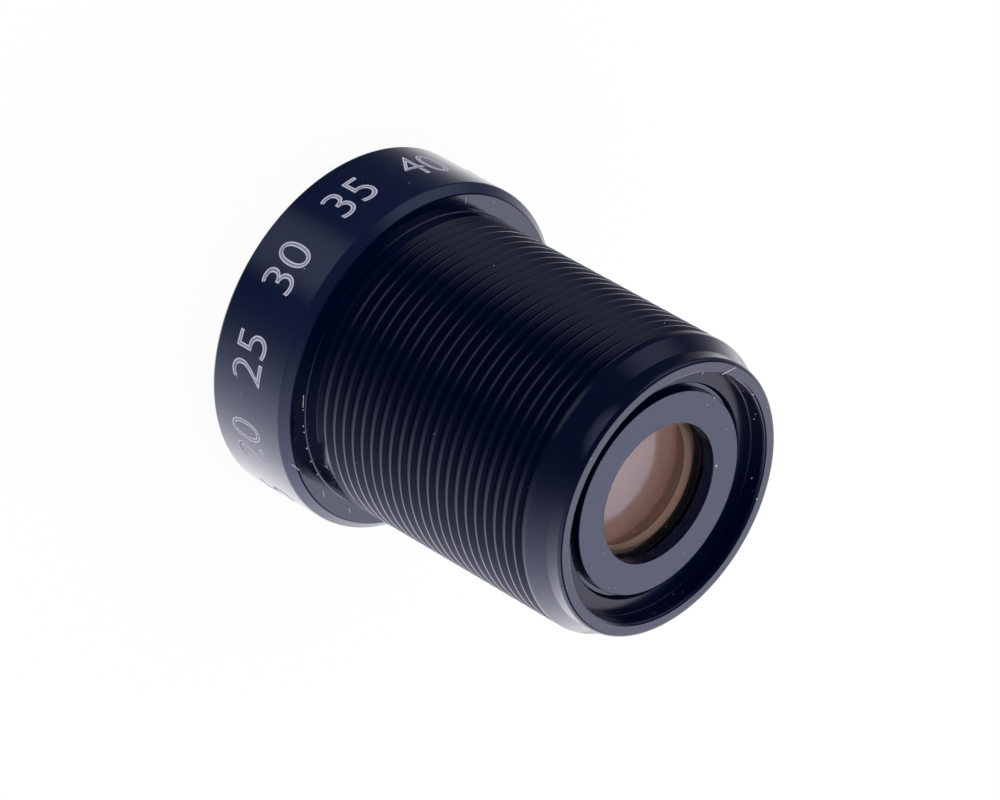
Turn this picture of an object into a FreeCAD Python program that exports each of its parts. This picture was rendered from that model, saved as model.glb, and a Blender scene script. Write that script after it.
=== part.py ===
import FreeCAD, Part
import math
import os

import Sketcher

# Board camera lens with an M12 x 0.5 outside thread, standing on the front face of its head.
# The optical axis is Z. Z = 0 is the front face, and the rear rim, which faces the sensor, is on top.
# Every piece is turned about the axis, so each sketch is a half section: X is radius, Y is height.

doc = FreeCAD.newDocument("board_lens")

# Driving dimensions in millimetres
SIZES = [
    ("head_diameter", 14.0, "outside of the head"),
    ("head_length", 4.0, "front face to the shoulder that stops the thread"),
    ("head_rear_bevel", 0.33, "bevel round the rear of the head"),
    ("front_edge_break", 0.12, "broken edge round the front face"),
    ("thread_diameter", 11.9, "over the crests of the M12 x 0.5 thread"),
    ("thread_length", 11.7, "shoulder to the end of the full thread"),
    ("lead_in_length", 0.62, "cone that starts the thread at the rear"),
    ("neck_diameter", 11.04, "plain neck behind the thread"),
    ("neck_length", 0.68, "height of the plain neck"),
    ("rim_edge_break", 0.1, "broken edge round the rear rim"),
    ("rim_bore_diameter", 9.88, "recess inside the rear rim"),
    ("rim_bore_depth", 0.71, "depth of that recess, down to its flat ledge"),
    ("ring_hole_diameter", 8.55, "hole in the ledge that takes the retaining ring"),
    ("ring_foot_gap", 0.12, "gap left under the retaining ring in that hole"),
    ("ring_fit", 0.02, "clearance round the retaining ring"),
    ("ring_face_depth", 0.52, "face of the retaining ring below the rear rim"),
    ("ring_face_diameter", 8.12, "face of the retaining ring"),
    ("ring_land_height", 0.38, "reduced land under that face"),
    ("ring_bore_diameter", 5.57, "bore of the retaining ring, the rear aperture"),
    ("ring_lip_height", 0.52, "lip of the retaining ring that holds the rear lens"),
    ("ring_skirt_length", 0.65, "skirt of the ring round the edge of the rear lens"),
    ("ring_edge_break", 0.04, "broken edges of the ring's bore and face"),
    ("cell_diameter", 7.8, "bore that holds the rear lens group"),
    ("cell_fit", 0.02, "clearance round the lenses and spacers in that bore"),
    ("lip_bore_diameter", 6.0, "bore of the lip between the front lens and the cell"),
    ("lip_thickness", 1.2, "height of that lip"),
    ("hood_bore_diameter", 11.0, "bore in the head for the hood ring"),
    ("hood_fit", 0.03, "clearance round the hood ring"),
    ("hood_recess", 0.15, "front of the hood ring behind the front face"),
    ("hood_height", 1.8, "height of the hood ring"),
    ("hood_rim_width", 0.32, "front face of the hood ring round its opening"),
    ("hood_flare", 1.0, "how far each side of the opening closes in towards the front lens"),
    ("hood_slot_width", 1.0, "two spanner slots across the hood ring's front"),
    ("hood_slot_depth", 0.45, "depth of the spanner slots"),
    ("front_lens_diameter", 9.4, "outside of the front meniscus"),
    ("front_lens_fit", 0.03, "clearance round the front meniscus"),
    ("front_lens_rim", 1.37, "edge thickness of the front meniscus"),
    ("front_lens_front_radius", 8.5, "curvature of its front, bulging out"),
    ("front_lens_rear_radius", 3.6, "curvature of its rear, hollow"),
    ("seal_thickness", 0.5, "height of the square seal ring under the front meniscus"),
    ("seal_groove_width", 0.72, "groove for the seal ring round the lens seat"),
    ("seal_gap", 0.06, "gap between the seal ring and each wall of its groove"),
    ("lens_bevel", 0.1, "ground bevel on the corners of the front and the rear lens"),
    ("dome_margin", 0.06, "a bulging face ends this far inside the ring that it bulges through"),
    ("shield_thickness", 0.1, "thickness of each black light shield"),
    ("shield_aperture", 5.0, "opening of the light shields on both sides of the second lens"),
    ("second_lens_rim", 1.5, "edge thickness of the second lens"),
    ("second_lens_rear_aperture", 5.0, "polished rear of the second lens"),
    ("second_lens_rear_radius", 5.0, "curvature of its rear, hollow"),
    ("front_spacer_length", 0.7, "spacer between the second and the third lens"),
    ("third_lens_rim", 1.1, "edge thickness of the third lens"),
    ("third_lens_rear_radius", 7.0, "curvature of its rear, bulging out"),
    ("spacer_edge_width", 0.62, "width of a spacer's end faces"),
    ("spacer_waist", 0.3, "height of the sharp ridge inside the long middle spacer"),
    ("stop_diameter", 2.2, "hole of the aperture stop"),
    ("stop_spacer_length", 0.85, "spacer from the stop to the fourth lens"),
    ("fourth_lens_rim", 1.9, "edge thickness of the fourth lens"),
    ("fourth_lens_front_radius", 9.0, "curvature of its front, bulging out"),
    ("rear_shield_overlap", 0.3, "how far the rear light shield reaches inside its spacer"),
    ("rear_spacer_length", 0.2, "thin spacer in front of the rear lens"),
    ("rear_lens_rim", 1.5, "edge thickness of the rear lens"),
    ("rear_lens_rear_radius", 14.0, "curvature of its rear, bulging out"),
]

# Half aperture of the front meniscus's hollow rear, as a share of that face's curvature radius
HOLLOW_SHARE = 0.8

# Radii and heights that follow from the driving dimensions. The front group is stacked up from the
# lip and the rear group down from the retaining ring, and the middle spacer fills what is left.
PLACES = [
    ("head_edge", "=sizes.head_diameter / 2"),
    ("thread_crest", "=sizes.thread_diameter / 2"),
    ("neck_side", "=sizes.neck_diameter / 2"),
    ("rim_bore_wall", "=sizes.rim_bore_diameter / 2"),
    ("ring_hole_wall", "=sizes.ring_hole_diameter / 2"),
    ("cell_wall", "=sizes.cell_diameter / 2"),
    ("lip_wall", "=sizes.lip_bore_diameter / 2"),
    ("hood_wall", "=sizes.hood_bore_diameter / 2"),
    ("element_edge", "=cell_wall - sizes.cell_fit"),
    ("spacer_bore", "=element_edge - sizes.spacer_edge_width"),
    ("front_lens_edge", "=sizes.front_lens_diameter / 2"),
    ("front_lens_wall", "=front_lens_edge + sizes.front_lens_fit"),
    ("seal_wall", "=front_lens_wall - sizes.seal_groove_width"),
    ("hood_edge", "=hood_wall - sizes.hood_fit"),
    ("hood_mouth", "=hood_edge - sizes.hood_rim_width"),
    ("hood_throat", "=hood_mouth - sizes.hood_flare"),
    ("ring_bore_wall", "=sizes.ring_bore_diameter / 2"),
    ("front_lens_dome", "=hood_throat - sizes.dome_margin"),
    ("front_lens_hollow", "=sizes.front_lens_rear_radius * %g" % HOLLOW_SHARE),
    ("cell_lens_dome", "=spacer_bore - sizes.dome_margin"),
    ("rear_lens_dome", "=ring_bore_wall - sizes.dome_margin"),
    ("thread_top", "=sizes.head_length + sizes.thread_length"),
    ("neck_foot", "=thread_top + sizes.lead_in_length"),
    ("rim", "=neck_foot + sizes.neck_length"),
    ("ledge", "=rim - sizes.rim_bore_depth"),
    ("ring_face", "=rim - sizes.ring_face_depth"),
    ("rear_lens_rear", "=ring_face - sizes.ring_lip_height"),
    ("ring_skirt_foot", "=rear_lens_rear - sizes.ring_skirt_length"),
    ("ring_hole_floor", "=ring_skirt_foot - sizes.ring_foot_gap"),
    ("rear_lens_front", "=rear_lens_rear - sizes.rear_lens_rim"),
    ("rear_spacer_foot", "=rear_lens_front - sizes.rear_spacer_length"),
    ("fourth_lens_rear", "=rear_spacer_foot - sizes.shield_thickness"),
    ("fourth_lens_front", "=fourth_lens_rear - sizes.fourth_lens_rim"),
    ("stop_rear", "=fourth_lens_front - sizes.stop_spacer_length"),
    ("stop_front", "=stop_rear - sizes.shield_thickness"),
    ("front_lens_front", "=sizes.hood_recess + sizes.hood_height"),
    ("front_lens_seat", "=front_lens_front + sizes.front_lens_rim"),
    ("seal_floor", "=front_lens_seat + sizes.seal_thickness"),
    ("cell_floor", "=front_lens_seat + sizes.lip_thickness"),
    ("second_lens_front", "=cell_floor + sizes.shield_thickness"),
    ("second_lens_rear", "=second_lens_front + sizes.second_lens_rim"),
    ("front_spacer_foot", "=second_lens_rear + sizes.shield_thickness"),
    ("third_lens_front", "=front_spacer_foot + sizes.front_spacer_length"),
    ("third_lens_rear", "=third_lens_front + sizes.third_lens_rim"),
]

HOOD_STEPS = 3
AXIS = "0"

# Numbers by which the sketcher knows a line's ends, a circle's middle and its own two axes
START, END, CENTRE = 1, 2, 3
LEVEL_AXIS, UPRIGHT_AXIS = -1, -2


def fill_sheet(name, rows):
    """Write one named cell a row, with its note beside it."""
    sheet = doc.addObject("Spreadsheet::Sheet", name)
    for number, row in enumerate(rows, start=1):
        sheet.set("A%d" % number, row[0])
        sheet.set("B%d" % number, str(row[1]))
        sheet.setAlias("B%d" % number, row[0])
        if len(row) > 2:
            sheet.set("C%d" % number, row[2])
    doc.recompute()
    return sheet


sizes = fill_sheet("sizes", SIZES)
places = fill_sheet("places", PLACES)


def value(expression):
    """The number that a sheet expression stands for now."""
    result = sizes.evalExpression(expression)
    return float(getattr(result, "Value", result))


def new_body(name):
    """An empty body whose label names its file."""
    body = doc.addObject("PartDesign::Body", name)
    body.Label = name
    return body


def origin_plane(body, role):
    """One of the body's own origin planes."""
    for feature in body.Origin.OriginFeatures:
        if feature.Role == role:
            return feature
    raise ValueError(role)


def section_sketch(body, name):
    """A sketch on the plane through the optical axis."""
    sketch = body.newObject("Sketcher::SketchObject", name)
    sketch.AttachmentSupport = [(origin_plane(body, "XZ_Plane"), "")]
    sketch.MapMode = "FlatFace"
    return sketch


def add_size(sketch, constraint, expression):
    """Add a dimension and bind it to the sheets."""
    index = sketch.addConstraint(constraint)
    sketch.setExpression("Constraints[%d]" % index, expression)


def arc_height(rim_height, radius, aperture, toward):
    """Height of a polished face on the axis, given where it meets its flat rim."""
    return rim_height + toward * (radius - math.sqrt(radius ** 2 - aperture ** 2))


def draw_outline(sketch, points, faces):
    """Draw a closed half section and constrain it fully.

    points are (radius, height) expressions in order, with no height where a polished face gives it.
    faces maps an edge's number to (curvature, toward), toward being -1 where the middle of the face
    lies below its rim and 1 where it lies above. Edge n runs from point n to the next point.
    """
    count = len(points)
    radii = [value(point[0]) for point in points]
    heights = [None if point[1] is None else value(point[1]) for point in points]
    for edge, (curvature, toward) in faces.items():
        first, last = edge, (edge + 1) % count
        middle, rim = (first, last) if heights[first] is None else (last, first)
        heights[middle] = arc_height(heights[rim], value(curvature), radii[rim], toward)

    starts = []
    ends = []
    for edge in range(count):
        first, last = edge, (edge + 1) % count
        here = FreeCAD.Vector(radii[first], heights[first], 0)
        there = FreeCAD.Vector(radii[last], heights[last], 0)
        if edge in faces:
            curvature, toward = faces[edge]
            radius = value(curvature)
            middle, rim = (here, there) if points[first][1] is None else (there, here)
            centre = FreeCAD.Vector(0, middle.y - toward * radius, 0)
            rim_angle = math.atan2(rim.y - centre.y, rim.x)
            middle_angle = toward * math.pi / 2
            circle = Part.Circle(centre, FreeCAD.Vector(0, 0, 1), radius)
            low, high = sorted((rim_angle, middle_angle))
            geometry = sketch.addGeometry(Part.ArcOfCircle(circle, low, high), False)
            begins_low = (middle is here) == (toward < 0)
            starts.append((geometry, START if begins_low else END))
            ends.append((geometry, END if begins_low else START))
        else:
            geometry = sketch.addGeometry(Part.LineSegment(here, there), False)
            starts.append((geometry, START))
            ends.append((geometry, END))

    for edge in range(count):
        following = starts[(edge + 1) % count]
        sketch.addConstraint(Sketcher.Constraint("Coincident", *ends[edge], *following))
    for edge, (curvature, toward) in faces.items():
        geometry = starts[edge][0]
        on_axis = Sketcher.Constraint("PointOnObject", geometry, CENTRE, UPRIGHT_AXIS)
        sketch.addConstraint(on_axis)
        add_size(sketch, Sketcher.Constraint("Radius", geometry, value(curvature)), curvature)

    for edge in range(count):
        if edge in faces:
            continue
        this, following = points[edge], points[(edge + 1) % count]
        if this[0] == following[0] != AXIS:
            sketch.addConstraint(Sketcher.Constraint("Vertical", starts[edge][0]))
        if this[1] == following[1] and this[1] is not None:
            sketch.addConstraint(Sketcher.Constraint("Horizontal", starts[edge][0]))
    for number, point in enumerate(points):
        before = (number - 1) % count
        straight = before not in faces
        for axis, (kind, line) in enumerate((("DistanceX", UPRIGHT_AXIS), ("DistanceY", LEVEL_AXIS))):
            expression = point[axis]
            tied = straight and points[before][axis] == expression
            if expression is None or (tied and (axis == 1 or expression != AXIS)):
                continue
            if expression == AXIS:
                sketch.addConstraint(Sketcher.Constraint("PointOnObject", *starts[number], line))
            else:
                place = value(expression)
                size = Sketcher.Constraint(kind, LEVEL_AXIS, START, *starts[number], place)
                add_size(sketch, size, expression)


def turn(body, sketch):
    """Turn a half section once round the optical axis."""
    feature = body.newObject("PartDesign::Revolution", body.Name + "_turning")
    feature.Profile = sketch
    feature.ReferenceAxis = (sketch, ["V_Axis"])
    feature.Angle = 360
    return feature


def turned_piece(name, points, faces=None):
    """A piece that is one turned half section."""
    body = new_body(name)
    sketch = section_sketch(body, name + "_section")
    draw_outline(sketch, points, faces or {})
    turn(body, sketch)
    return body


def at(name, offset=""):
    """Expression for a value of the second sheet, with an optional offset."""
    return ("places." + name + " " + offset).strip()


def make_barrel():
    """Head and threaded tube, turned from one bar and bored from both ends."""
    front_break = "sizes.front_edge_break"
    rim_break = "sizes.rim_edge_break"
    bevel = "sizes.head_rear_bevel"
    return turned_piece("barrel", [
        (at("hood_wall"), AXIS),
        (at("head_edge", "- " + front_break), AXIS),
        (at("head_edge"), front_break),
        (at("head_edge"), "sizes.head_length - " + bevel),
        (at("head_edge", "- " + bevel), "sizes.head_length"),
        (at("thread_crest"), "sizes.head_length"),
        (at("thread_crest"), at("thread_top")),
        (at("neck_side"), at("neck_foot")),
        (at("neck_side"), at("rim", "- " + rim_break)),
        (at("neck_side", "- " + rim_break), at("rim")),
        (at("rim_bore_wall"), at("rim")),
        (at("rim_bore_wall"), at("ledge")),
        (at("ring_hole_wall"), at("ledge")),
        (at("ring_hole_wall"), at("ring_hole_floor")),
        (at("cell_wall"), at("ring_hole_floor")),
        (at("cell_wall"), at("cell_floor")),
        (at("lip_wall"), at("cell_floor")),
        (at("lip_wall"), at("front_lens_seat")),
        (at("seal_wall"), at("front_lens_seat")),
        (at("seal_wall"), at("seal_floor")),
        (at("front_lens_wall"), at("seal_floor")),
        (at("front_lens_wall"), at("front_lens_front")),
        (at("hood_wall"), at("front_lens_front")),
    ])


def make_hood_ring():
    """Screw-in ring with a stepped cone that keeps stray light off the front lens."""
    outer = at("hood_edge")
    points = [
        (outer, "sizes.hood_recess"),
        (outer, at("front_lens_front")),
    ]
    for step in range(HOOD_STEPS, 0, -1):
        radius = at("hood_mouth", "- sizes.hood_flare * %d / %d" % (step - 1, HOOD_STEPS - 1))
        lower = "sizes.hood_recess + sizes.hood_height * %d / %d" % (step, HOOD_STEPS)
        upper = "sizes.hood_recess + sizes.hood_height * %d / %d" % (step - 1, HOOD_STEPS)
        if step == HOOD_STEPS:
            lower = at("front_lens_front")
        if step == 1:
            upper = "sizes.hood_recess"
        points.append((radius, lower))
        points.append((radius, upper))
    body = turned_piece("hood_ring", points)

    slots = body.newObject("Sketcher::SketchObject", "hood_slot_outline")
    slots.AttachmentSupport = [(origin_plane(body, "XY_Plane"), "")]
    slots.MapMode = "FlatFace"
    half_width = value("sizes.hood_slot_width / 2")
    reach = value(at("hood_wall"))
    corners = [
        FreeCAD.Vector(0, -half_width, 0),
        FreeCAD.Vector(reach, -half_width, 0),
        FreeCAD.Vector(reach, half_width, 0),
        FreeCAD.Vector(0, half_width, 0),
    ]
    lower, outer_end, upper, axis_end = range(len(corners))
    for line, corner in enumerate(corners):
        following = corners[(line + 1) % len(corners)]
        slots.addGeometry(Part.LineSegment(corner, following), False)
    for line in range(len(corners)):
        next_line = (line + 1) % len(corners)
        slots.addConstraint(Sketcher.Constraint("Coincident", line, END, next_line, START))
    slots.addConstraint(Sketcher.Constraint("Horizontal", lower))
    slots.addConstraint(Sketcher.Constraint("Horizontal", upper))
    slots.addConstraint(Sketcher.Constraint("Vertical", axis_end))
    slots.addConstraint(Sketcher.Constraint("PointOnObject", lower, START, UPRIGHT_AXIS))
    halves = Sketcher.Constraint("Symmetric", lower, END, outer_end, END, LEVEL_AXIS)
    slots.addConstraint(halves)
    length = Sketcher.Constraint("DistanceX", LEVEL_AXIS, START, lower, END, reach)
    add_size(slots, length, at("hood_wall"))
    width = Sketcher.Constraint("DistanceY", outer_end, START, outer_end, END, 2 * half_width)
    add_size(slots, width, "sizes.hood_slot_width")
    doc.recompute()

    before = body.Shape.Volume
    pocket = body.newObject("PartDesign::Pocket", "hood_slot")
    pocket.Profile = slots
    pocket.Reversed = True
    pocket.setExpression("Length", "sizes.hood_recess + sizes.hood_slot_depth")
    doc.recompute()
    pattern = body.newObject("PartDesign::PolarPattern", "hood_slots")
    pattern.Originals = [pocket]
    pattern.Axis = (slots, ["N_Axis"])
    pattern.Angle = 360
    pattern.Occurrences = 2
    body.Tip = pattern
    doc.recompute()
    if body.Shape.Volume >= before:
        raise RuntimeError("the spanner slots cut nothing")
    return body


def make_seal_ring():
    """Square rubber ring between the front meniscus and its groove."""
    inner = at("seal_wall", "+ sizes.seal_gap")
    outer = at("front_lens_wall", "- sizes.seal_gap")
    return turned_piece("seal_ring", [
        (inner, at("front_lens_seat")),
        (outer, at("front_lens_seat")),
        (outer, at("seal_floor")),
        (inner, at("seal_floor")),
    ])


def flat(height):
    """A lens face that is flat from the axis to its edge."""
    return (height, None, None, 0)


def make_lens(name, edge, front, rear, bevel=None):
    """A polished lens, with a ground bevel on its corners if one is given.

    front and rear are (rim height, half aperture, curvature, toward), as draw_outline takes them,
    or what flat() gives.
    """
    points = []
    faces = {}
    front_height, front_aperture, front_radius, front_toward = front
    rear_height, rear_aperture, rear_radius, rear_toward = rear
    if front_aperture is None:
        points.append((AXIS, front_height))
    else:
        faces[0] = (front_radius, front_toward)
        points.append((AXIS, None))
        points.append((front_aperture, front_height))
    if bevel is None:
        points.append((edge, front_height))
        points.append((edge, rear_height))
    else:
        points.append((edge + " - " + bevel, front_height))
        points.append((edge, front_height + " + " + bevel))
        points.append((edge, rear_height + " - " + bevel))
        points.append((edge + " - " + bevel, rear_height))
    if rear_aperture is None:
        points.append((AXIS, rear_height))
    else:
        points.append((rear_aperture, rear_height))
        faces[len(points) - 1] = (rear_radius, rear_toward)
        points.append((AXIS, None))
    return turned_piece(name, points, faces)


def make_lenses():
    """The five lenses, from the front one to the one at the sensor."""
    edge = at("element_edge")
    dome = at("cell_lens_dome")
    make_lens(
        "front_meniscus",
        at("front_lens_edge"),
        (at("front_lens_front"), at("front_lens_dome"), "sizes.front_lens_front_radius", -1),
        (at("front_lens_seat"), at("front_lens_hollow"), "sizes.front_lens_rear_radius", -1),
        bevel="sizes.lens_bevel",
    )
    hollow = "sizes.second_lens_rear_aperture / 2"
    make_lens(
        "second_lens",
        edge,
        flat(at("second_lens_front")),
        (at("second_lens_rear"), hollow, "sizes.second_lens_rear_radius", -1),
    )
    make_lens(
        "third_lens",
        edge,
        flat(at("third_lens_front")),
        (at("third_lens_rear"), dome, "sizes.third_lens_rear_radius", 1),
    )
    make_lens(
        "fourth_lens",
        edge,
        (at("fourth_lens_front"), dome, "sizes.fourth_lens_front_radius", -1),
        flat(at("fourth_lens_rear")),
    )
    make_lens(
        "rear_lens",
        edge,
        flat(at("rear_lens_front")),
        (at("rear_lens_rear"), at("rear_lens_dome"), "sizes.rear_lens_rear_radius", 1),
        bevel="sizes.lens_bevel",
    )


def make_spacer(name, foot, top):
    """Plain aluminium ring that keeps two lenses apart."""
    return turned_piece(name, [
        (at("element_edge"), foot),
        (at("element_edge"), top),
        (at("spacer_bore"), top),
        (at("spacer_bore"), foot),
    ])


def make_middle_spacer():
    """Long spacer whose bore narrows to a sharp waist, so that its wall throws no light on."""
    foot = at("third_lens_rear")
    top = at("stop_front")
    return turned_piece("middle_spacer", [
        (at("element_edge"), foot),
        (at("element_edge"), top),
        (at("spacer_bore"), top),
        (at("spacer_bore", "- sizes.spacer_waist"), "(%s + %s) / 2" % (foot, top)),
        (at("spacer_bore"), foot),
    ])


def make_disc(name, foot, opening):
    """Thin black disc with a round opening."""
    outer = at("element_edge")
    top = foot + " + sizes.shield_thickness"
    return turned_piece(name, [
        (opening, foot),
        (outer, foot),
        (outer, top),
        (opening, top),
    ])


def make_stack():
    """What keeps the lenses apart in the cell and the light off its walls."""
    make_disc("front_light_shield", at("cell_floor"), "sizes.shield_aperture / 2")
    make_disc("middle_light_shield", at("second_lens_rear"), "sizes.shield_aperture / 2")
    make_spacer("front_spacer", at("front_spacer_foot"), at("third_lens_front"))
    make_middle_spacer()
    make_disc("aperture_stop", at("stop_front"), "sizes.stop_diameter / 2")
    make_spacer("stop_spacer", at("stop_rear"), at("fourth_lens_front"))
    inside_spacer = at("spacer_bore", "- sizes.rear_shield_overlap")
    make_disc("rear_light_shield", at("fourth_lens_rear"), inside_spacer)
    make_spacer("rear_spacer", at("rear_spacer_foot"), at("rear_lens_front"))


def make_retaining_ring():
    """Cup-shaped ring pressed in behind the rear lens, with a reduced land at its face."""
    outer = at("ring_hole_wall", "- sizes.ring_fit")
    face_edge = "sizes.ring_face_diameter / 2"
    bore = at("ring_bore_wall")
    chamfer = "sizes.ring_edge_break"
    return turned_piece("rear_retaining_ring", [
        (bore, at("rear_lens_rear")),
        (at("cell_wall"), at("rear_lens_rear")),
        (at("cell_wall"), at("ring_skirt_foot")),
        (outer, at("ring_skirt_foot")),
        (outer, at("ring_face", "- sizes.ring_land_height")),
        (face_edge, at("ring_face", "- sizes.ring_land_height")),
        (face_edge, at("ring_face", "- " + chamfer)),
        (face_edge + " - " + chamfer, at("ring_face")),
        (bore + " + " + chamfer, at("ring_face")),
        (bore, at("ring_face", "- " + chamfer)),
    ])


def check_and_write():
    """Stop on any failed object, then write each piece to its own file."""
    doc.recompute()
    for item in doc.Objects:
        if "Invalid" in item.State or "Error" in item.State:
            raise RuntimeError("%s failed: %s" % (item.Name, item.State))
    bodies = [item for item in doc.Objects if item.TypeId == "PartDesign::Body"]
    for sketch in doc.Objects:
        if sketch.TypeId == "Sketcher::SketchObject" and not sketch.FullyConstrained:
            raise RuntimeError(sketch.Name + " isn't fully constrained")
    for body in bodies:
        shape = body.Shape
        if shape.isNull() or not shape.isValid() or len(shape.Solids) != 1:
            raise RuntimeError(body.Label + " isn't one valid solid")
    os.makedirs("parts", exist_ok=True)
    for body in bodies:
        body.Shape.exportStep("parts/%s.step" % body.Label)
        print("%-20s %9.3f mm3" % (body.Label, body.Shape.Volume))


make_barrel()
make_hood_ring()
make_seal_ring()
make_lenses()
make_stack()
make_retaining_ring()
check_and_write()
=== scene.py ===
"""Looks of a threaded board camera lens that stands on the front face of its head.

Sizes are in millimetres unless a name says otherwise, and they become metres where a mesh is made.
The optical axis is Z. The head stands on Z = 0, and the rear rim, which faces the sensor, is on top.
An angle round the axis is 0 at -Y, where the photograph was taken from, and grows towards +X.
"""

import logging
import math
import random
from contextlib import contextmanager
from dataclasses import dataclass, field
from enum import Enum
from typing import Iterator, Optional, Union

import bpy
from bpy.types import Material, MeshPolygon, Node, NodeSocket, NodeTree, Object
from mathutils import Matrix, Vector


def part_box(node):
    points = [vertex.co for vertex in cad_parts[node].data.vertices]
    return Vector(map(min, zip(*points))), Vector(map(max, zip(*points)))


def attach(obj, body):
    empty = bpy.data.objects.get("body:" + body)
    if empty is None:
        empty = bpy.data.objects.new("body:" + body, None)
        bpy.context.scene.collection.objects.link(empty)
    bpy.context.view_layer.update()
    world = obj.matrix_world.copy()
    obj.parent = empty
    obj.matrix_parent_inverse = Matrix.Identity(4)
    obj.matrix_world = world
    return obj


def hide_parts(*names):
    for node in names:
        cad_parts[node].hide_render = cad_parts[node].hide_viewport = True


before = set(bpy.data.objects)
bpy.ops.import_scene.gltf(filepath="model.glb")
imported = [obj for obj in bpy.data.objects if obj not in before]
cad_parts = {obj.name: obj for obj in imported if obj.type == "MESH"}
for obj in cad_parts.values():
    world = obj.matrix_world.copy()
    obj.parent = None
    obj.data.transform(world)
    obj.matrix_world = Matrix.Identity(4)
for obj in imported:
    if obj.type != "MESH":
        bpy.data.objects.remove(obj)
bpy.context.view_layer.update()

LOG = logging.getLogger("lens")
MM = 0.001
FULL_TURN = 2 * math.pi
MERGE_DISTANCE = 0.0008 * MM
SHARP_EDGE = math.radians(20)
FACING_UP = 0.99
BODY = "root"

Point = tuple[float, float]
Place = tuple[float, float, float]
Speck = tuple[float, float, float, float]
Socket = Union[str, int]


class Slot(Enum):
    """Material slots of the record for the pieces here."""

    BARREL = "anodised_barrel"
    RING = "anodised_ring"
    SPACER = "blackened_spacer"
    FILM = "black_film"
    FRONT_GLASS = "front_glass"
    INNER_GLASS = "inner_glass"
    REAR_GLASS = "rear_glass"


class Towards(Enum):
    """Which way the middle of a polished face lies from its rim."""

    FRONT = -1
    REAR = 1


# Numbers and meshes


def linear(colour: str) -> tuple[float, float, float, float]:
    """Turn an sRGB hex colour to linear.

    Args:
        colour: six hex digits, such as "c9c9de".

    Returns:
        Red, green, blue and an alpha of 1.
    """
    channels = []
    for start in (0, 2, 4):
        share = int(colour[start:start + 2], 16) / 255
        channels.append(share / 12.92 if share <= 0.04045 else ((share + 0.055) / 1.055) ** 2.4)
    return (channels[0], channels[1], channels[2], 1.0)


def top_of(node: str) -> float:
    """Height of a CAD node's top in millimetres."""
    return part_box(node)[1][2] / MM


def foot_of(node: str) -> float:
    """Height of a CAD node's lowest point in millimetres."""
    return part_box(node)[0][2] / MM


def radius_of(node: str) -> float:
    """Outer radius of a CAD node in millimetres."""
    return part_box(node)[1][0] / MM


def on_side(radius: float, degrees: float, height: float) -> Place:
    """Place at a radius and an angle round the axis.

    Args:
        radius: distance from the axis in millimetres.
        degrees: angle from -Y towards +X.
        height: height in millimetres.

    Returns:
        The place in millimetres.
    """
    angle = math.radians(degrees)
    return (radius * math.sin(angle), -radius * math.cos(angle), height)


def face_radius(face: MeshPolygon) -> float:
    """Distance of a face's middle from the axis in millimetres."""
    return math.hypot(face.center.x, face.center.y) / MM


@contextmanager
def editing(piece: Object) -> Iterator[None]:
    """Edit one piece with all of it selected.

    Args:
        piece: the object to edit.

    Yields:
        Nothing; edit mode ends with the block.
    """
    pick(piece)
    bpy.ops.object.mode_set(mode="EDIT")
    bpy.ops.mesh.select_all(action="SELECT")
    yield
    bpy.ops.object.mode_set(mode="OBJECT")


def deselect() -> None:
    """Leave nothing selected, so that an operator acts only on what comes next."""
    bpy.ops.object.select_all(action="DESELECT")


def pick(piece: Object) -> None:
    """Make one object the only selected and the active one.

    Args:
        piece: the object.
    """
    deselect()
    piece.select_set(True)
    bpy.context.view_layer.objects.active = piece


def named(name: str) -> Object:
    """Name the active object and its mesh.

    Args:
        name: their name.

    Returns:
        The object.
    """
    piece = bpy.context.active_object
    piece.name = name
    piece.data.name = name
    return piece


def draw_outline(name: str, outline: list[Point]) -> Object:
    """Draw a half section in the XZ plane as a chain of edges.

    Args:
        name: name of the new object.
        outline: (radius, height) of each corner.

    Returns:
        The new object.
    """
    deselect()
    bpy.ops.mesh.primitive_plane_add(size=MM)
    piece = named(name)
    with editing(piece):
        bpy.ops.mesh.merge(type="CENTER")
        bpy.ops.transform.translate(value=(outline[0][0] * MM, 0, outline[0][1] * MM))
        for here, there in zip(outline, outline[1:]):
            step = ((there[0] - here[0]) * MM, 0, (there[1] - here[1]) * MM)
            bpy.ops.mesh.extrude_vertices_move(TRANSFORM_OT_translate={"value": step})
    return piece


def turned(name: str, outline: list[Point], steps: int = 192) -> Object:
    """Turn a half section round the axis to a closed mesh.

    Args:
        name: name of the new object.
        outline: (radius, height) of each corner; it starts and ends on the axis, or is closed here.
        steps: number of faces round the axis.

    Returns:
        The new object.
    """
    on_axis = outline[0][0] == 0 and outline[-1][0] == 0
    piece = draw_outline(name, outline if on_axis else outline + outline[:1])
    with editing(piece):
        bpy.ops.mesh.remove_doubles(threshold=MERGE_DISTANCE)
        bpy.ops.mesh.spin(steps=steps, angle=FULL_TURN, center=(0, 0, 0), axis=(0, 0, 1))
        bpy.ops.mesh.select_all(action="SELECT")
        bpy.ops.mesh.remove_doubles(threshold=MERGE_DISTANCE)
        bpy.ops.mesh.normals_make_consistent(inside=False)
    return piece


def add_modifier(piece: Object, kind: str, **settings: object) -> None:
    """Add a modifier to a piece and apply it.

    Args:
        piece: the object that gets it.
        kind: Blender's name for the modifier.
        settings: its properties.
    """
    pick(piece)
    modifier = piece.modifiers.new(kind.lower(), kind)
    for setting, value in settings.items():
        setattr(modifier, setting, value)
    bpy.ops.object.modifier_apply(modifier=modifier.name)


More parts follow.
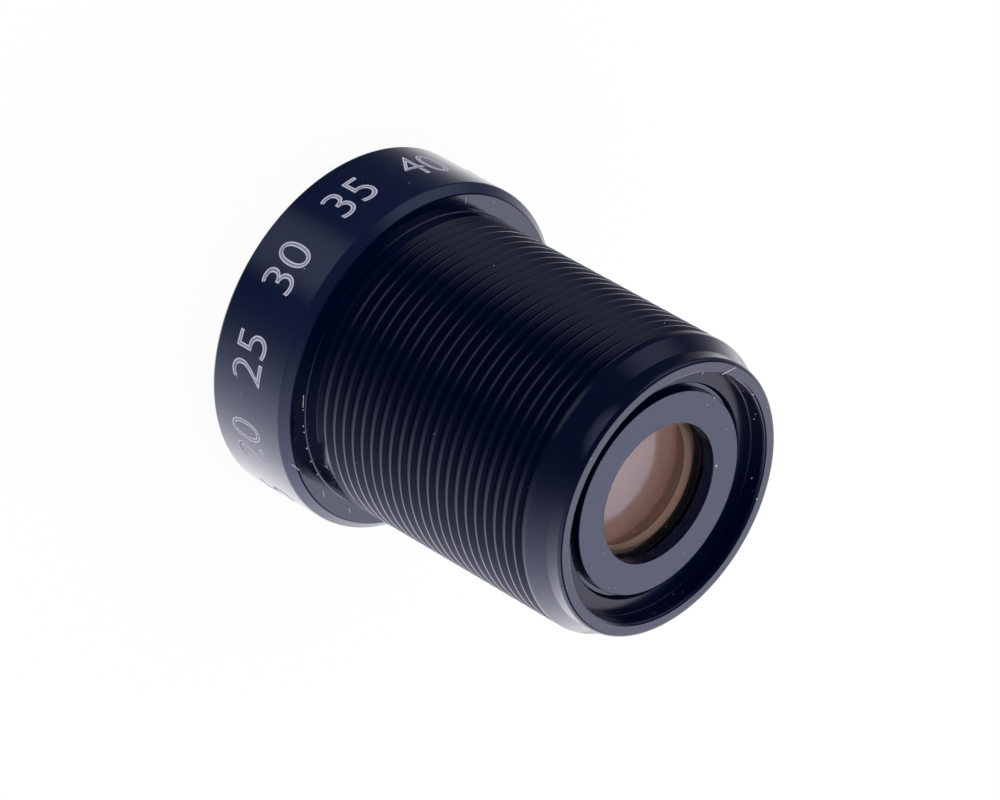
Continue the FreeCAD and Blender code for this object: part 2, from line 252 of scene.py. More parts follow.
def round_edges(piece: Object, width: float, segments: int = 2) -> None:
    """Round every sharp edge of a piece.

    Args:
        piece: the object to round.
        width: width of the rounding in millimetres.
        segments: faces across the rounding.
    """
    add_modifier(
        piece, "BEVEL", width=width * MM, segments=segments, limit_method="ANGLE",
        angle_limit=SHARP_EDGE, use_clamp_overlap=True,
    )


def smooth(piece: Object, degrees: float = 12) -> None:
    """Shade a piece smooth, with its flat faces kept flat.

    Args:
        piece: the object to shade.
        degrees: edges sharper than this stay sharp.
    """
    pick(piece)
    bpy.ops.object.shade_smooth_by_angle(angle=math.radians(degrees))


def cut(piece: Object, cutter: Object) -> None:
    """Cut one closed mesh out of another and delete the cutter."""
    add_modifier(piece, "BOOLEAN", operation="DIFFERENCE", solver="EXACT", object=cutter)
    bpy.data.objects.remove(cutter)


def dome(
    half_aperture: float, rim_height: float, radius: float, towards: Towards, count: int = 14
) -> list[Point]:
    """Points of a polished face from the axis to its rim.

    Args:
        half_aperture: radius of the rim.
        rim_height: height of the rim.
        radius: radius of curvature.
        towards: which way the middle of the face lies from its rim.
        count: number of steps from the axis to the rim.

    Returns:
        (radius, height) of each point, the axis first.
    """
    widest = math.asin(half_aperture / radius)
    points = []
    for step in range(count + 1):
        angle = widest * step / count
        rise = radius * (math.cos(angle) - math.cos(widest))
        points.append((radius * math.sin(angle), rim_height + towards.value * rise))
    return points


# Finishes


def add_node(
    tree: NodeTree, kind: str, settings: Optional[dict[Socket, object]] = None,
    links: Optional[dict[Socket, NodeSocket]] = None,
) -> Node:
    """Add a node with its settings and links.

    Args:
        tree: node tree that gets the node.
        kind: Blender's name for the node, without its Shader Node prefix.
        settings: values by name of an input socket or, failing that, of a property.
        links: output sockets by the name or number of the input that each goes to.

    Returns:
        The new node.
    """
    node = tree.nodes.new("ShaderNode" + kind)
    for name, value in (settings or {}).items():
        if isinstance(name, int) or name in node.inputs:
            node.inputs[name].default_value = value
        else:
            setattr(node, name, value)
    for name, source in (links or {}).items():
        tree.links.new(source, node.inputs[name])
    return node


@dataclass(frozen=True)
class Finish:
    """What one surface is made of and how it was finished."""

    name: str

    def shader(self, tree: NodeTree) -> NodeSocket:
        """Add the nodes of this finish and return the shader's output."""
        raise NotImplementedError

    def material(self) -> Material:
        """Find the finish's material, or make it.

        Returns:
            The material.
        """
        found = bpy.data.materials.get(self.name)
        if found:
            return found
        made = bpy.data.materials.new(self.name)
        made.use_nodes = True
        tree = made.node_tree
        tree.nodes.clear()
        add_node(tree, "OutputMaterial", links={"Surface": self.shader(tree)})
        return made

    def millimetres(self, tree: NodeTree) -> NodeSocket:
        """Add the nodes that give object coordinates in millimetres.

        Args:
            tree: the material's node tree.

        Returns:
            The coordinates.
        """
        place = add_node(tree, "TexCoord").outputs["Object"]
        scaled = add_node(tree, "VectorMath", {"operation": "SCALE", "Scale": 1 / MM}, {0: place})
        return scaled.outputs["Vector"]


@dataclass(frozen=True)
class AnodisedAluminium(Finish):
    """Aluminium, turned on a lathe and dyed black in an anodising bath.

    The dye leaves almost no colour of its own, a trace of violet. What shows is the oxide layer's
    satin reflection, broken up by the tool's fine rings.
    """

    # Base colour: the dye, and on the side of the head a painted reflection as well
    dye: str = "010824"
    # Tint of the reflection; dimmed in the recess, where it is painted shade
    sheen: str = "d4d8fc"
    roughness: float = 0.13
    tool_spacing: float = 0.09
    tool_depth: float = 0.0004
    blotch_size: float = 1.5
    unevenness: float = 0.2
    index: float = 1.77

    def shader(self, tree: NodeTree) -> NodeSocket:
        """Dark oxide with tool rings in its roughness and its height.

        Args:
            tree: the material's node tree.

        Returns:
            The shader's output.
        """
        place = self.millimetres(tree)
        split = add_node(tree, "SeparateXYZ", links={0: place})
        flat_place = add_node(tree, "CombineXYZ", links={"X": split.outputs["X"], "Y": split.outputs["Y"]})
        radius = add_node(tree, "VectorMath", {"operation": "LENGTH"}, {0: flat_place.outputs["Vector"]})
        across = add_node(
            tree, "Math", {"operation": "ADD"}, {0: radius.outputs["Value"], 1: split.outputs["Z"]}
        )
        # The tool's feed, drawn at twice its real 0.045 mm so that it shows, and uneven like a worn tool
        rings = add_node(
            tree, "TexNoise",
            {"noise_dimensions": "1D", "Scale": 1 / self.tool_spacing, "Detail": 2.0},
            {"W": across.outputs["Value"]},
        )
        # Blotches of the bath make some places duller than others
        blotches = add_node(
            tree, "TexNoise", {"Scale": 1 / self.blotch_size, "Detail": 3.0}, {"Vector": place}
        )
        mixed = add_node(
            tree, "Math", {"operation": "ADD"}, {0: rings.outputs["Fac"], 1: blotches.outputs["Fac"]}
        )
        rough = add_node(
            tree, "MapRange",
            {
                "From Min": 0.6, "From Max": 1.4,
                "To Min": self.roughness * (1 - self.unevenness),
                "To Max": self.roughness * (1 + self.unevenness),
            },
            {"Value": mixed.outputs["Value"]},
        )
        bump = add_node(
            tree, "Bump", {"Distance": self.tool_depth * MM}, {"Height": rings.outputs["Fac"]}
        )
        # Clear oxide over the dye
        surface = add_node(
            tree, "BsdfPrincipled",
            {
                "Base Color": linear(self.dye), "Metallic": 0.0, "IOR": self.index,
                "Specular Tint": linear(self.sheen),
            },
            {"Roughness": rough.outputs["Result"], "Normal": bump.outputs["Normal"]},
        )
        return surface.outputs["BSDF"]


@dataclass(frozen=True)
class CoatedGlass(Finish):
    """Polished optical glass with an anti-reflection coating, which tints its reflection."""

    index: float = 1.6
    reflection: str = "ffe2cf"
    roughness: float = 0.12

    def shader(self, tree: NodeTree) -> NodeSocket:
        """Clear refraction with a tinted reflection over it.

        Args:
            tree: the material's node tree.

        Returns:
            The shader's output.
        """
        inside = add_node(
            tree, "BsdfRefraction", {"Color": (1, 1, 1, 1), "Roughness": 0.0, "IOR": self.index}
        )
        # A trace of roughness lets Cycles sample the lamp in the reflection, which keeps it clean
        outside = add_node(
            tree, "BsdfAnisotropic", {"Color": linear(self.reflection), "Roughness": self.roughness}
        )
        share = add_node(tree, "Fresnel", {"IOR": self.index})
        surface = add_node(
            tree, "MixShader",
            links={0: share.outputs["Fac"], 1: inside.outputs["BSDF"], 2: outside.outputs["BSDF"]},
        )
        return surface.outputs["Shader"]


@dataclass(frozen=True)
class Matt(Finish):
    """A dull surface, such as film, rubber, laser marking or dust, or a pale band of painted reflection.
    """

    colour: str = "060606"
    roughness: float = 0.7
    index: float = 1.5
    grain: float = 0.06
    variation: float = 0.15

    def shader(self, tree: NodeTree) -> NodeSocket:
        """Dull colour that varies a little from grain to grain.

        Args:
            tree: the material's node tree.

        Returns:
            The shader's output.
        """
        place = self.millimetres(tree)
        grains = add_node(tree, "TexNoise", {"Scale": 1 / self.grain, "Detail": 2.0}, {"Vector": place})
        level = add_node(
            tree, "MapRange",
            {"From Min": 0.3, "From Max": 0.7, "To Min": 1 - self.variation, "To Max": 1 + self.variation},
            {"Value": grains.outputs["Fac"]},
        )
        colour = add_node(
            tree, "VectorMath", {"operation": "SCALE", 0: linear(self.colour)[:3]},
            {"Scale": level.outputs["Result"]},
        )
        surface = add_node(
            tree, "BsdfPrincipled", {"Roughness": self.roughness, "IOR": self.index},
            {"Base Color": colour.outputs["Vector"]},
        )
        return surface.outputs["BSDF"]


# Turned and dyed black: satin and near black, with fine rings in what it mirrors
TUBE_FINISH = AnodisedAluminium("black_anodised_turned_aluminium")
# The side of the head gets a lighter, bluer dye: a painted reflection of the floor near the head
HEAD_PAINTED_REFLECTION_FINISH = AnodisedAluminium("black_anodised_aluminium_painted_floor_reflection", dye="0c1635")
# Faced flat, it looks slate grey. In the bore and on the ledge its reflection is dimmed: painted shade of
# the recess
FACE_FINISH = AnodisedAluminium("black_anodised_faced_aluminium", sheen="c1c8f3", roughness=0.16)
RECESS_PAINTED_SHADE_FINISH = AnodisedAluminium("black_anodised_aluminium_painted_recess_shade", sheen="7c80a0", roughness=0.2)
# Dull against stray light, so hardly a gleam is left
SPACER_FINISH = AnodisedAluminium("matt_black_anodised_aluminium", sheen="b0b0b8", roughness=0.5)
FILM_FINISH = Matt("black_polyester_film", colour="2c2e38")
# Seen through the rear lens: a beige band on the fourth lens, a painted reflection in the glass, and a
# slate ring of blasted metal
PAINTED_REFLECTION_BAND_FINISH = Matt("pale_band_painted_reflection", colour="988c7e", roughness=0.6, variation=0.05)
REAR_SPACER_FINISH = Matt("blasted_anodised_aluminium", colour="565b76", roughness=0.6)
RUBBER_FINISH = Matt("lathe_cut_nitrile_rubber", colour="0a0a0a", roughness=0.85, grain=0.15)
# Burnt pale at the edges of each stroke and greyer between them
MARKING_FINISH = Matt("laser_marking_bright", colour="c9c9de", roughness=0.8, grain=0.05)
MARKING_CORE_FINISH = Matt("laser_marking_grey", colour="85859a", roughness=0.8, grain=0.05)
# Dust and lint catch the light and look nearly white
DUST_FINISH = Matt("pale_dust", colour="d8d8e0", roughness=0.9)
# Clear glass whose faint reflection has the coating's colour
FRONT_GLASS_FINISH = CoatedGlass("coated_glass_green_reflection", reflection="9cdcb4")
INNER_GLASS_FINISH = CoatedGlass("coated_glass_blue_reflection", reflection="d5dcf1")
REAR_GLASS_FINISH = CoatedGlass("coated_glass_rose_reflection", reflection="b8897a")


def finish_piece(piece: Object, finish: Finish, nodes: tuple[str, ...] = ()) -> None:
    """Dress a new piece and join it to the frame.

    Args:
        piece: the object.
        finish: its finish, unless its faces already have their materials.
        nodes: CAD nodes that it stands for.
    """
    if not piece.data.materials:
        piece.data.materials.append(finish.material())
    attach(piece, BODY)
    if nodes:
        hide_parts(*nodes)
    LOG.info("%s: %d faces", piece.name, len(piece.data.polygons))


# The lens


@dataclass
class Thread:
    """Outside thread M12 x 0.5, cut as a groove that runs out short of the head."""

    pitch: float = 0.5
    crest_width: float = 0.07
    crest_rounding: float = 0.03
    depth: float = 0.27
    half_angle: float = 30.0
    arc_step: int = 20
    steps: int = 192
    turns: int = 22
    run_out_turn: float = 0.5
    shallow_turns: float = 1.4
    shallow_from: float = 50.0
    shallow_to: float = 165.0
    shallow_softness: float = 14.0
    overshoot: float = 0.06
    lip: float = 0.006

    def outline(self, crest_radius: float, height: float) -> list[Point]:
        """Section of the groove, with a round root and rounded edges at its mouth.

        Args:
            crest_radius: radius of the thread's crests.
            height: height of the groove's middle.

        Returns:
            (radius, height) of each corner, from the mouth's lower edge to its upper edge.
        """
        flank = math.radians(self.half_angle)
        arc = round(90 - self.half_angle)
        half_mouth = (self.pitch - self.crest_width) / 2
        mouth = half_mouth + self.crest_rounding * math.tan(flank)
        root = half_mouth / math.tan(flank) - self.depth
        root_middle = crest_radius - self.depth + root
        lower = [(crest_radius + self.overshoot, -mouth - self.lip)]
        for degrees in range(self.arc_step, arc + 1, self.arc_step):
            angle = math.radians(degrees)
            sunk = self.crest_rounding * (1 - math.cos(angle))
            lower.append((crest_radius - sunk, self.crest_rounding * math.sin(angle) - mouth))
        for degrees in range(-arc, 0, self.arc_step):
            angle = math.radians(degrees)
            lower.append((root_middle - root * math.cos(angle), root * math.sin(angle)))
        upper = [(radius, -rise) for radius, rise in reversed(lower)]
        section = lower + [(crest_radius - self.depth, 0.0)] + upper
        return [(radius, height + rise) for radius, rise in section]

    def groove(self, crest_radius: float, first_height: float) -> Object:
        """Make the groove's solid, a ridge wound round the axis.

        Args:
            crest_radius: radius of the thread's crests.
            first_height: height of the groove's middle where it runs out.

        Returns:
            The closed solid.
        """
        outline = self.outline(crest_radius, first_height)
        groove = draw_outline("thread_groove", outline + outline[:1])
        with editing(groove):
            bpy.ops.mesh.remove_doubles(threshold=MERGE_DISTANCE)
        add_modifier(
            groove, "SCREW", axis="Z", angle=FULL_TURN, screw_offset=self.pitch * MM,
            iterations=self.turns, steps=self.steps, render_steps=self.steps, use_merge_vertices=False,
        )
        self.run_out(groove, len(outline))
        with editing(groove):
            bpy.ops.mesh.fill_holes(sides=0)
            bpy.ops.mesh.normals_make_consistent(inside=False)
        return groove

    def run_out(self, groove: Object, corners: int) -> None:
        """Lift the groove out of the barrel where it starts, and where its first turns stay shallow.

        Args:
            groove: the wound ridge, its vertices in order of its steps.
            corners: number of vertices in a step.
        """
        for step in range(self.turns * self.steps + 1):
            turn = step / self.steps
            share = max(1 - turn / self.run_out_turn, self.shallow_share(turn))
            if share <= 0:
                continue
            for vertex in groove.data.vertices[step * corners:(step + 1) * corners]:
                outward = Vector((vertex.co.x, vertex.co.y, 0)).normalized()
                vertex.co += outward * (self.depth + self.overshoot) * MM * share

    def shallow_share(self, turn: float) -> float:
        """How far the groove is lifted on the side where the tool drew back early.

        Args:
            turn: turns from the groove's start, which lies at +X.

        Returns:
            0 for a groove of full depth and 1 for none.
        """
        if turn > self.shallow_turns:
            return 0.0
        angle = (90 + 360 * turn) % 360
        entering = (angle - self.shallow_from) / self.shallow_softness
        leaving = (self.shallow_to - angle) / self.shallow_softness
        return min(max(min(entering, leaving), 0.0), 1.0)


@dataclass
class Barrel:
    """Head and threaded tube in one piece; the numbers on its head are marked by Numbers."""

    head_length: float = 4.0
    rear_bevel: float = 0.33
    front_break: float = 0.12
    crest_radius: float = 5.95
    thread_length: float = 11.7
    lead_in: float = 0.62
    neck_radius: float = 5.52
    rim_break: float = 0.1
    rim_bore_radius: float = 4.94
    rim_bore_depth: float = 0.71
    ring_hole_radius: float = 4.275
    ring_foot_gap: float = 0.12
    cell_radius: float = 3.9
    lip_bore_radius: float = 3.0
    lip_thickness: float = 1.2
    hood_bore_radius: float = 5.5
    seal_depth: float = 0.5
    seal_inner_radius: float = 4.01
    front_lens_fit: float = 0.03
    edge_rounding: float = 0.035
    first_groove: float = 4.4
    rim_chamfer: float = 0.08
    smooth_below: float = 21.0
    bevel_share: float = 0.9
    level_normal: float = 0.5
    thread: Thread = field(default_factory=Thread)

    def outline(self) -> list[Point]:
        """Half section of the barrel without its thread.

        Returns:
            (radius, height) of each corner.
        """
        head = radius_of("barrel")
        rim = top_of("barrel")
        ledge = rim - self.rim_bore_depth
        hole_floor = foot_of("rear_retaining_ring") - self.ring_foot_gap
        lens_front = top_of("hood_ring")
        lens_wall = radius_of("front_meniscus") + self.front_lens_fit
        seat = foot_of("seal_ring")
        cell_floor = seat + self.lip_thickness
        thread_top = self.head_length + self.thread_length
        return [
            (self.hood_bore_radius, 0), (head - self.front_break, 0),
            (head, self.front_break), (head, self.head_length - self.rear_bevel),
            (head - self.rear_bevel, self.head_length), (self.crest_radius, self.head_length),
            (self.crest_radius, thread_top), (self.neck_radius, thread_top + self.lead_in),
            (self.neck_radius, rim - self.rim_break), (self.neck_radius - self.rim_break, rim),
            (self.rim_bore_radius + self.rim_chamfer, rim), (self.rim_bore_radius, rim - self.rim_chamfer),
            (self.rim_bore_radius, ledge), (self.ring_hole_radius, ledge),
            (self.ring_hole_radius, hole_floor), (self.cell_radius, hole_floor),
            (self.cell_radius, cell_floor), (self.lip_bore_radius, cell_floor),
            (self.lip_bore_radius, seat), (self.seal_inner_radius, seat),
            (self.seal_inner_radius, seat + self.seal_depth), (lens_wall, seat + self.seal_depth),
            (lens_wall, lens_front), (self.hood_bore_radius, lens_front),
        ]

    def build(self) -> Object:
        """Turn the barrel, cut its thread and finish each face by its place.

        Returns:
            The barrel.
        """
        piece = turned("barrel_body", self.outline(), self.thread.steps)
        round_edges(piece, self.edge_rounding, segments=1)
        cut(piece, self.thread.groove(self.crest_radius, self.first_groove))
        smooth(piece, self.smooth_below)
        finishes = (TUBE_FINISH, RECESS_PAINTED_SHADE_FINISH, HEAD_PAINTED_REFLECTION_FINISH)
        for finish in finishes:
            piece.data.materials.append(finish.material())
        head = radius_of("barrel") - self.rear_bevel * self.bevel_share
        for face in piece.data.polygons:
            face.material_index = finishes.index(self.finish_of(face, head))
        finish_piece(piece, TUBE_FINISH, ("barrel",))
        return piece

    def finish_of(self, face: MeshPolygon, head: float) -> Finish:
        """Choose a face's finish by its place.

        Args:
            face: the face.
            head: radius past which it belongs to the side of the head.

        Returns:
            Its finish.
        """
        radius = face_radius(face)
        chamfer = self.rim_bore_radius + self.edge_rounding / 2
        # The side of the head gets the lighter dye, a painted reflection of the floor near it
        if radius > head:
            return HEAD_PAINTED_REFLECTION_FINISH
        # The bore wall and the ledge get the dimmed reflection, painted shade of the recess
        if radius < self.rim_bore_radius or (radius < chamfer and face.normal.z < self.level_normal):
            return RECESS_PAINTED_SHADE_FINISH
        return TUBE_FINISH


@dataclass
class Numbers:
    """Plain numbers marked by laser round the head, like those of a dial."""

    first_angle: float = 56.0
    spacing: float = 30.0
    count: int = 12
    step: int = 5
    first_number: int = 20
    height: float = 1.6
    height_share: float = 0.73
    curve_steps: int = 6
    middle: float = 1.9
    line_width: float = 0.05
    weight: float = -0.012
    proud: float = 0.004
    piece_width: float = 0.25

    def build(self, barrel: Object) -> None:
        """Mark each number on the head.

        Args:
            barrel: the piece that carries them.
        """
        marks = [self.mark(barrel, index) for index in range(self.count)]
        pick(marks[0])
        for mark in marks:
            mark.select_set(True)
        bpy.ops.object.join()
        piece = named("dial_numbers")
        finish_piece(piece, MARKING_FINISH)

    def mark(self, barrel: Object, index: int) -> Object:
        """Make one number and lay it on the head.

        Args:
            barrel: the piece that carries it.
            index: its place in the row of numbers.

        Returns:
            The number as a mesh.
        """
        number = (self.first_number + index * self.step - 1) % (self.count * self.step) + 1
        deselect()
        bpy.ops.object.text_add()
        text = bpy.context.active_object
        text.data.body = str(number)
        text.data.size = self.height * MM / self.height_share
        text.data.align_x = "CENTER"
        text.data.align_y = "CENTER"
        text.data.resolution_u = self.curve_steps
        text.data.offset = self.weight * MM
        bpy.ops.object.convert(target="MESH")
        mark = named("number_%d" % number)
        mark.data.materials.append(MARKING_FINISH.material())
        mark.data.materials.append(MARKING_CORE_FINISH.material())
        self.outline_strokes(mark)
        angle = self.first_angle - index * self.spacing
        upright = Matrix.Rotation(math.radians(-90), 4, "X")
        turn = Matrix.Rotation(math.radians(angle), 4, "Z")
        out = Matrix.Translation(Vector((0, -radius_of("barrel") * MM, self.middle * MM)))
        mark.data.transform(turn @ out @ Matrix.Rotation(math.pi, 4, "Y") @ upright.inverted())
        add_modifier(
            mark, "SHRINKWRAP", target=barrel, wrap_method="NEAREST_SURFACEPOINT",
            wrap_mode="ABOVE_SURFACE", offset=self.proud * MM,
        )
        return mark

    def outline_strokes(self, mark: Object) -> None:
        """Give a number's strokes bright edges and a grey core, and cut it fine enough to bend.

        Args:
            mark: the number as a flat mesh.
        """
        with editing(mark):
            bpy.ops.mesh.remove_doubles(threshold=MERGE_DISTANCE)
            bpy.context.object.active_material_index = 1
            bpy.ops.mesh.inset(thickness=self.line_width * MM, use_boundary=True)
            bpy.ops.object.material_slot_assign()
            half_width = mark.dimensions.x / 2
            pieces = math.ceil(half_width / (self.piece_width * MM))
            for number in range(-pieces, pieces + 1):
                bpy.ops.mesh.select_all(action="SELECT")
                bpy.ops.mesh.bisect(plane_co=(number * self.piece_width * MM, 0, 0), plane_no=(1, 0, 0))


@dataclass
class RetainingRing:
    """Cup-shaped ring behind the rear lens."""

    face_radius: float = 4.06
    land_height: float = 0.38
    bore_radius: float = 2.785
    lip_height: float = 0.52
    edge_rounding: float = 0.03

    def build(self) -> None:
        """Turn the ring."""
        face = top_of("rear_retaining_ring")
        foot = foot_of("rear_retaining_ring")
        outer = radius_of("rear_retaining_ring")
        lens_rear = face - self.lip_height
        piece = turned("retaining_ring_body", [
            (self.bore_radius, lens_rear), (Barrel.cell_radius, lens_rear),
            (Barrel.cell_radius, foot), (outer, foot),
            (outer, face - self.land_height), (self.face_radius, face - self.land_height),
            (self.face_radius, face), (self.bore_radius, face),
        ])
        round_edges(piece, self.edge_rounding)
        smooth(piece)
        finish_piece(piece, FACE_FINISH, ("rear_retaining_ring",))


@dataclass
class HoodRing:
    """Stepped ring that holds the front lens, with two spanner slots."""

    rim_width: float = 0.32
    flare: float = 1.0
    steps: int = 3
    slot_width: float = 1.0
    slot_depth: float = 0.45
    edge_rounding: float = 0.03

    def build(self) -> None:
        """Turn the ring and cut its slots."""
        foot = foot_of("hood_ring")
        top = top_of("hood_ring")
        outer = radius_of("hood_ring")
        outline = [(outer, foot), (outer, top)]
        for step in range(self.steps, 0, -1):
            radius = outer - self.rim_width - self.flare * (step - 1) / (self.steps - 1)
            outline.append((radius, foot + (top - foot) * step / self.steps))
            outline.append((radius, foot + (top - foot) * (step - 1) / self.steps))
        piece = turned("hood_ring_body", outline)
        deselect()
        bpy.ops.mesh.primitive_cube_add(size=1)
        slot = named("spanner_slot")
        # The cutter reaches past both sides of the ring
        with editing(slot):
            size = (2.4 * outer * MM, self.slot_width * MM, 2 * self.slot_depth * MM)
            bpy.ops.transform.resize(value=size)
            bpy.ops.transform.translate(value=(0, 0, foot * MM))
        cut(piece, slot)
        round_edges(piece, self.edge_rounding)
        smooth(piece)
        finish_piece(piece, FACE_FINISH, ("hood_ring",))


@dataclass
class LensStack:
    """The five lenses and what keeps them apart in the cell."""

    bevel: float = 0.1
    dome_margin: float = 0.06
    hood_throat: float = 4.15
    spacer_bore: float = 3.26
    shield_overlap: float = 0.3
    ring_bore: float = 2.785
    front_lens_front_radius: float = 8.5
    front_lens_rear_radius: float = 3.6
    hollow_share: float = 0.8
    second_lens_hollow: float = 2.5
    second_lens_rear_radius: float = 5.0
    third_lens_rear_radius: float = 7.0
    fourth_lens_front_radius: float = 9.0
    fourth_lens_polished: float = 2.5
    rear_lens_rear_radius: float = 14.0
    third_lens_rim: float = 1.1
    rear_lens_rim: float = 1.5

    def lens(
        self, name: str, front: list[Point], rear: list[Point], finish: Finish, slot: Slot,
        bevelled: bool = False,
    ) -> Object:
        """Make one lens from its two faces.

        Args:
            name: name of the CAD node that it stands for.
            front: points of its front face, the axis first.
            rear: points of its rear face, the axis first.
            finish: its glass and coating.
            slot: the record's slot for it; not used.
            bevelled: whether the corners of its edge are ground off.

        Returns:
            The lens.
        """
        edge = radius_of(name)
        front_rim = front[-1][1]
        rear_rim = rear[-1][1]
        if bevelled:
            side = [
                (edge - self.bevel, front_rim), (edge, front_rim + self.bevel),
                (edge, rear_rim - self.bevel), (edge - self.bevel, rear_rim),
            ]
        else:
            side = [(edge, front_rim), (edge, rear_rim)]
        piece = turned(name + "_glass", front + side + rear[::-1])
        smooth(piece)
        finish_piece(piece, finish, (name,))
        return piece

    def build(self) -> None:
        """Make the lenses from front to rear, then the rings that show through the last."""
        cell_dome = self.spacer_bore - self.dome_margin
        hollow = self.front_lens_rear_radius * self.hollow_share
        self.lens(
            "front_meniscus",
            dome(self.hood_throat - self.dome_margin, top_of("hood_ring"),
                 self.front_lens_front_radius, Towards.FRONT),
            dome(hollow, foot_of("seal_ring"), self.front_lens_rear_radius, Towards.FRONT),
            FRONT_GLASS_FINISH, Slot.FRONT_GLASS, bevelled=True,
        )
        self.lens(
            "second_lens", [(0, foot_of("second_lens"))],
            dome(self.second_lens_hollow, top_of("second_lens"), self.second_lens_rear_radius,
                 Towards.FRONT),
            INNER_GLASS_FINISH, Slot.INNER_GLASS,
        )
        third_front = foot_of("third_lens")
        self.lens(
            "third_lens", [(0, third_front)],
            dome(cell_dome, third_front + self.third_lens_rim, self.third_lens_rear_radius,
                 Towards.REAR),
            INNER_GLASS_FINISH, Slot.INNER_GLASS,
        )
        self.build_fourth_lens(cell_dome)
        rear_front = foot_of("rear_lens")
        self.lens(
            "rear_lens", [(0, rear_front)],
            dome(self.ring_bore - self.dome_margin, rear_front + self.rear_lens_rim,
                 self.rear_lens_rear_radius, Towards.REAR),
            REAR_GLASS_FINISH, Slot.REAR_GLASS, bevelled=True,
        )
        self.build_rings()

    def build_fourth_lens(self, front_aperture: float) -> None:
        """Make the fourth lens, whose flat rear is polished in the middle and pale outside it, a painted
        reflection.

        Args:
            front_aperture: radius of its polished front.
        """
        rear = top_of("fourth_lens")
        piece = self.lens(
            "fourth_lens",
            dome(front_aperture, top_of("stop_spacer"), self.fourth_lens_front_radius,
                 Towards.FRONT),
            [(0, rear), (self.fourth_lens_polished, rear)],
            INNER_GLASS_FINISH, Slot.INNER_GLASS,
        )
        piece.data.materials.append(PAINTED_REFLECTION_BAND_FINISH.material())
        for face in piece.data.polygons:
            # Faces of the flat rear outside the polished middle get the pale band, a painted reflection
            in_painted_band = face.normal.z > FACING_UP and face_radius(face) > self.fourth_lens_polished
            face.material_index = int(in_painted_band)

    def build_rings(self) -> None:
        """Make the spacer and the film that show through the rear lens."""
        opening = self.spacer_bore - self.shield_overlap
        for node, bore, finish, slot in (
            ("rear_spacer", self.spacer_bore, REAR_SPACER_FINISH, Slot.SPACER),
            ("rear_light_shield", opening, FILM_FINISH, Slot.FILM),
        ):
            edge, foot, top = radius_of("rear_lens"), foot_of(node), top_of(node)
            ring = turned(node + "_body", [(edge, foot), (edge, top), (bore, top), (bore, foot)])
            smooth(ring)
            finish_piece(ring, finish, (node,))


